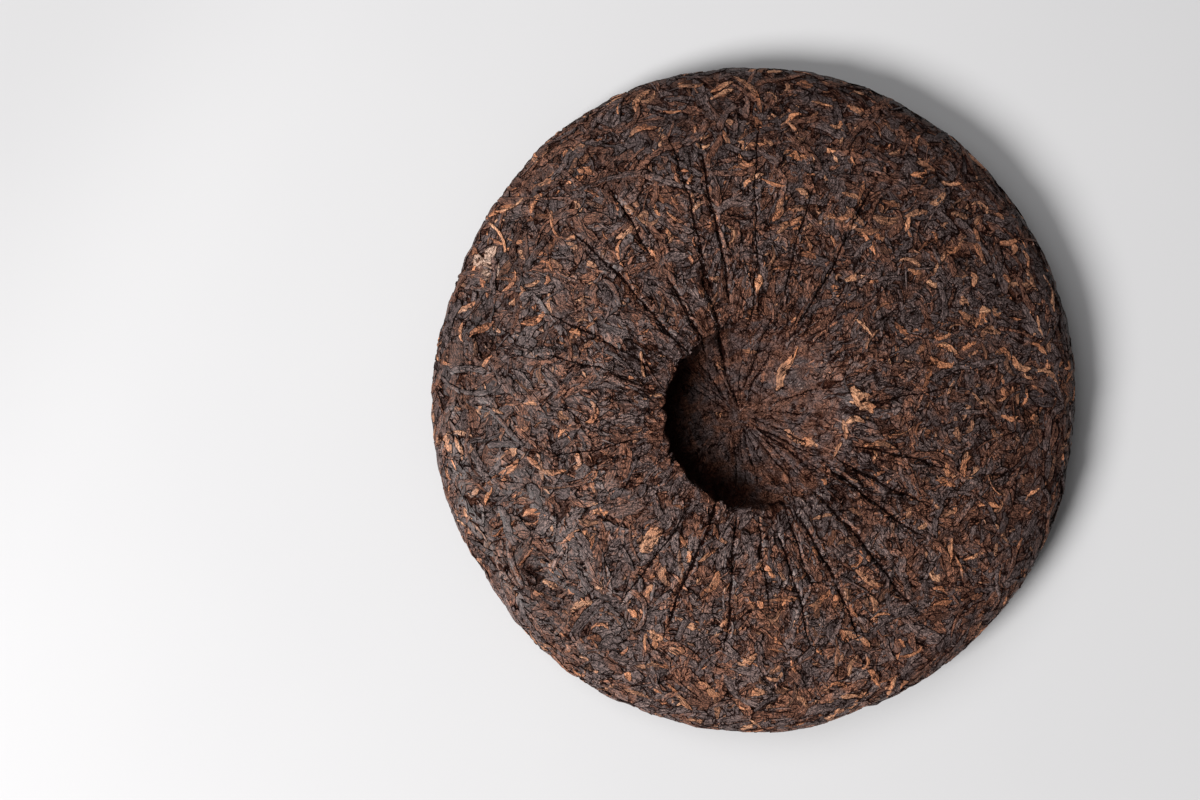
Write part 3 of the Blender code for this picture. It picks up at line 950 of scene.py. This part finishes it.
goldMarks = (  # golden bits that stand out: across, up, turn in degrees, length, width, curl, tint
    (-38, 92, -108, 11, 2.4, 1.9, 0.65), (-37, 82.5, 19, 10, 2.2, -0.9, 0.5),
    (-22, 96, 9, 9, 1.8, 0.5, 0.4), (-12.5, 96, 24, 8, 1.8, -0.6, 0.7),
    (-3.5, 95, -57, 16, 2.2, -0.7, 0.4), (-20, 81, -70, 5, 2.4, 0.3, 0.7),
    (-3.5, 78, -2, 10, 1.7, 0.2, 0.75), (9, 83, -55, 5.5, 1.6, 0.3, 0.6),
    (4, 57.5, 60, 8, 2.8, 0.3, 0.5), (8, 54, 20, 7, 2.0, 0.3, 0.7), (5.5, 52, 30, 6, 1.8, 0.2, 0.6),
    (10, 58, -20, 5, 2.4, 0.0, 0.4), (24.5, 55.5, 0, 5, 2.2, 0.0, 0.5),
    (19.5, 55.5, 0, 4, 2.6, 0.0, 0.55), (37, 55, 0, 10, 3.0, 0.3, 0.4), (47, 57, 11, 8, 2.2, 0.3, 0.6),
    (51, 72, -17, 7, 2.4, 0.2, 0.4), (59, 67, -3, 6.5, 1.8, -0.4, 0.8),
    (57.5, 45, 34, 9, 2.4, 0.0, 0.5), (67, 48, -75, 14, 2.4, 0.2, 0.4), (78, 49, 8, 8.5, 2.0, 0.8, 0.6),
    (65, 37, -81, 5, 2.4, 0.0, 0.6), (64, 25, -22, 10, 2.8, 0.2, 0.45), (70.5, 21, -5, 7, 3.0, 0.3, 0.5),
    (68.5, 27.5, 10, 4, 2.4, 0.0, 0.9), (56.5, 16.5, -19, 8, 2.0, -1.8, 0.9),
    (80, 10.5, -34, 8.5, 2.4, 1.3, 0.9), (75.5, 10.5, -66, 9, 1.6, 1.9, 0.1),
    (90, 8.5, -22, 10, 2.0, -2.0, 0.75), (87, 16.5, -31, 7, 1.9, -1.6, 0.65),
    (26, 37, 38, 4.5, 2.2, 0.0, 0.8), (29, 0, -39, 10, 4.2, 0.3, 1.15), (28, 2, -20, 7, 2.8, 0.2, 1.1),
    (31, -1.5, -55, 6, 2.0, -0.3, 0.9), (26.5, -6, 0, 7.5, 2.0, -0.9, 0.75),
    (24, -9, -78, 6.5, 1.8, 0.3, 0.7), (34.5, -13.5, -6, 11, 2.0, -0.3, 0.6),
    (22, -15, 60, 6, 1.6, 0.4, 0.5), (-35, -42, 35, 9.5, 5.2, 0.0, 0.9), (-16, -55, 54, 8, 3.0, 0.2, 0.5),
    (-3.5, -51, 49, 6.5, 2.4, 0.5, 0.5), (7, -60.5, -2, 14, 1.7, 0.0, 0.3),
    (3.5, -65.5, 56, 7, 1.6, 0.0, 0.35), (31.5, -54.5, -28, 11, 2.4, 0.3, 0.5),
    (33.5, -62, -75, 6, 2.2, 0.0, 0.4), (29, -72.5, -37, 11, 2.3, -0.5, 0.7),
    (22.5, -78.5, -89, 13.5, 1.5, 0.0, 0.1), (26.5, -91, -20, 8, 2.0, 1.0, 0.7),
    (-5, -79, 28, 7, 2.8, 0.0, 0.8), (-33, -71.5, -60, 5, 3.0, 0.0, 0.8),
    (-26.5, -76, -30, 5, 3.0, 0.4, 0.55), (-15.5, -89, -50, 6, 2.6, 0.6, 0.6),
    (-24, -92, -50, 8, 1.8, -0.4, 0.5), (-1.5, -89.5, 20, 4.5, 2.8, 0.5, 0.8),
    (12.5, -92.5, -47, 5.5, 2.2, 0.6, 0.6), (-22.5, -98, -8, 5.5, 1.8, 0.2, 0.6),
    (-26, -51, -86, 13.5, 1.8, 0.3, 0.1), (-75, 30.5, 35, 6.5, 1.8, 0.2, 0.8),
    (-70.5, 35, 14, 5, 1.6, 0.0, 0.7), (-70, -19, -50, 6, 1.8, 0.3, 0.7), (-64.5, -21.5, -3, 9, 1.9, 0.2, 0.7),
)
paleMarks = (  # one pale tuft of down
    (-86, 41.5, -20, 8, 4.4, 0.3, 0.6), (-84, 39.5, 30, 8, 4.0, -0.3, 0.4),
    (-83, 43.5, 60, 7, 3.4, 0.3, 0.7), (-81.5, 40, -60, 6, 3.0, 0.3, 0.5),
)
hollowMarks = (  # the same in the hollow
    (7, 9, 66, 12, 3.2, 0.3, 0.75), (5.5, 5, 75, 5, 2.4, 0.2, 0.5), (13, -12.5, -30, 10, 3.4, 0.3, 0.6),
    (9.5, -10.5, -20, 5, 2.4, 0.0, 0.6), (-4, 15, -6, 6, 1.6, 0.1, 0.3),
    (-12.5, 10.5, -54, 4.5, 1.8, 0.1, 0.3), (-12.5, -4.5, -43, 2, 1.4, 0.0, 0.8),
)
rootHairs = (  # thin and round, some of it clear of the surface
    (-80, 50, -59, 11.5, 0.9, -0.9, 1.2), (-77.5, 58, 14, 11, 0.75, 1.0, 1.0),
    (-64.5, 53, -72, 9, 1.0, 0.9, 0.6), (-38, 10.5, -82, 8, 0.9, 0.7, 0.9),
    (9.5, 13.5, 66, 7, 0.5, 0.2, 0.9), (42, -10, 20, 8, 0.5, 1.0, 0.6), (71, -27, -50, 8, 0.5, 1.2, 0.6),
)


def placedBits(name, model, marks, thick, lift, finish, seed):
    table = np.array(marks, dtype=float)
    found = [guideTree.ray_cast(Vector((x * mm, y * mm, 2.0 * high[2])), Vector((0.0, 0.0, -1.0)))
             for x, y in table[:, :2]]
    places = np.array([hit[0] for hit in found]) / mm
    normals = np.array([hit[1] for hit in found])
    turn = np.radians(table[:, 2])
    forward = np.stack([np.cos(turn), np.sin(turn), np.zeros(len(turn))], 1)
    forward -= normals * (forward * normals).sum(1, keepdims=True)
    forward /= np.linalg.norm(forward, axis=1, keepdims=True)
    size = {**leafy, "length": table[:, 3], "width": table[:, 4], "curl": table[:, 5],
            "tint": table[:, 6], "warmth": np.full(len(table), 0.5), "tilt": 0.04, "cap": 0.5,
            "fray": 0.6, "thick": np.full(len(table), thick), "lift": np.full(len(table), lift)}
    piece = layBits(name, model, places, normals, forward, size, seed)
    piece.data.materials.append(finish)
    return piece


def raggedRim(name, seed):
    # torn tips that stand out over the steep side of the hollow
    local = np.random.default_rng(seed)
    count = rim["count"]
    direction = np.radians(cake["steepSide"] + local.uniform(-rim["span"], rim["span"], count))
    across = np.stack([np.cos(direction), np.sin(direction)], 1)
    lean = 1.0 + cake["hollowLean"] * np.cos(direction) / cake["hollowRadius"]
    length = local.uniform(*rim["length"], count)
    out = length / 2.0 - local.uniform(*rim["over"], count)
    flat = across * (cake["hollowRadius"] * lean + out)[:, None]
    flat += np.array(cake["hollow"])
    top = [guideTree.ray_cast(Vector((*place * mm, 2.0 * high[2])), Vector((0.0, 0.0, -1.0)))[0].z
           for place in flat]
    places = np.column_stack([flat, np.array(top) / mm])
    normals = np.tile([0.0, 0.0, 1.0], (count, 1))
    turn = direction + math.pi + local.normal(size=count) * 0.45
    forward = np.stack([np.cos(turn), np.sin(turn), np.full(count, -0.12)], 1)
    forward /= np.linalg.norm(forward, axis=1, keepdims=True)
    size = {**leafy, "length": length,
            "width": local.uniform(*rim["width"], count), "curl": local.normal(size=count) * 0.3,
            "tint": local.uniform(0.0, 1.0, count), "warmth": local.uniform(0.2, 1.0, count),
            "tilt": 0.2, "cap": 0.2, "thick": local.uniform(0.4, 0.8, count), "fray": 1.6,
            "lift": local.uniform(-0.35, 0.0, count)}
    piece = layBits(name, "flake", places, normals, forward, size, seed + 1, draped=False)
    piece.data.materials.append(darkFinish)
    return piece


rim = {"count": 64, "span": 84.0, "over": (-0.2, 1.2), "length": (2.5, 6.5), "width": (1.2, 5.0)}
bits.append(raggedRim("rimBits", 700))
bits.append(placedBits("goldMarks", "bud", goldMarks, 0.6, 0.12, goldFinish, 710))
bits.append(placedBits("hollowMarks", "bud", hollowMarks, 0.5, 0.05, goldFinish, 720))
bits.append(placedBits("rootHairs", "stem", rootHairs, 0.6, 0.35, goldFinish, 730))
bits.append(placedBits("paleMarks", "flake", paleMarks, 0.6, 0.1, paleFinish, 740))

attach(body, "root")
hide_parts("tea_cake")
for piece in bits:
    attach(piece, "root")


middle = [(a + b) / 2.0 for a, b in zip(low, high)]


def floorFinish():
    shader = Shader("paleTable")
    place = shader.objectPlace()
    soft = shader.noise(place, 9.0, 2.0)
    colour = shader.mix(soft, (0.60, 0.60, 0.615, 1.0), (0.63, 0.63, 0.64, 1.0))
    x, y, _ = shader.parts(place)
    # painted shade: the table darker towards its upper left corner, where less light falls
    cornerShade = shader.between(y * 0.47 - x * 0.88, 0.17, 0.26) * 0.12
    colour = shader.mix(cornerShade, colour, (0.0, 0.0, 0.0, 1.0))
    shader.feed(shader.surface.inputs["Base Color"], colour)
    shader.feed(shader.surface.inputs["Roughness"], 0.62)
    shader.feed(shader.surface.inputs["Specular IOR Level"], 0.25)
    return shader.material


bpy.ops.object.select_all(action="DESELECT")
bpy.ops.mesh.primitive_plane_add(size=6.0, location=(0.0, 0.0, low[2]))
floor = bpy.context.object
floor.name = "tableTop"
floor.data.materials.append(floorFinish())


def areaLight(name, place, size, power, colour):
    data = bpy.data.lights.new(name, "AREA")
    data.shape = "DISK"
    data.size = size
    data.energy = power
    data.color = colour
    lamp = bpy.data.objects.new(name, data)
    lamp.location = place
    lamp.rotation_euler = (Vector(middle) - Vector(place)).to_track_quat("-Z", "Y").to_euler()
    bpy.context.scene.collection.objects.link(lamp)
    return lamp


lighting = {
    "keyFrom": 209.0,  # degrees round the cake
    "keyRise": 39.0,
    "keyDistance": 2.25,
    "keySize": 0.92,
    "keyPower": 76.0,
    "panelFrom": 149.0,
    "panelRise": 50.0,
    "panelDistance": 2.2,
    "panelSize": 1.5,
    "panelPower": 16.0,
    "fill": 0.12,
}
for lamp, colour in (("key", (1.0, 0.99, 0.975)), ("panel", (1.0, 1.0, 1.0))):
    swing = math.radians(lighting[lamp + "From"])
    rise = math.radians(lighting[lamp + "Rise"])
    away = Vector((math.cos(rise) * math.cos(swing), math.cos(rise) * math.sin(swing),
                   math.sin(rise)))
    areaLight(lamp + "Light", away * lighting[lamp + "Distance"], lighting[lamp + "Size"],
              lighting[lamp + "Power"], colour)

world = bpy.data.worlds.new("studio")
world.use_nodes = True
world.node_tree.nodes["Background"].inputs["Color"].default_value = (1.0, 0.985, 0.98, 1.0)
world.node_tree.nodes["Background"].inputs["Strength"].default_value = lighting["fill"]
bpy.context.scene.world = world

view = {"lens": 50.0, "distance": 0.5137, "tilt": 4.5, "aimLeft": 0.0492, "aimUp": 0.0}
aim = Vector((middle[0] - view["aimLeft"], middle[1] + view["aimUp"], 0.4 * high[2]))
lean = math.radians(view["tilt"])
cameraData = bpy.data.cameras.new("shotCamera")
cameraData.lens = view["lens"]
cameraData.sensor_width = 36.0
camera = bpy.data.objects.new("shotCamera", cameraData)
camera.location = aim + Vector((-math.sin(lean), 0.0, math.cos(lean))) * view["distance"]
camera.rotation_euler = (0.0, -lean, 0.0)
bpy.context.scene.collection.objects.link(camera)
bpy.context.scene.camera = camera
bpy.context.scene.view_settings.view_transform = "Standard"
print("floor, light and camera set")
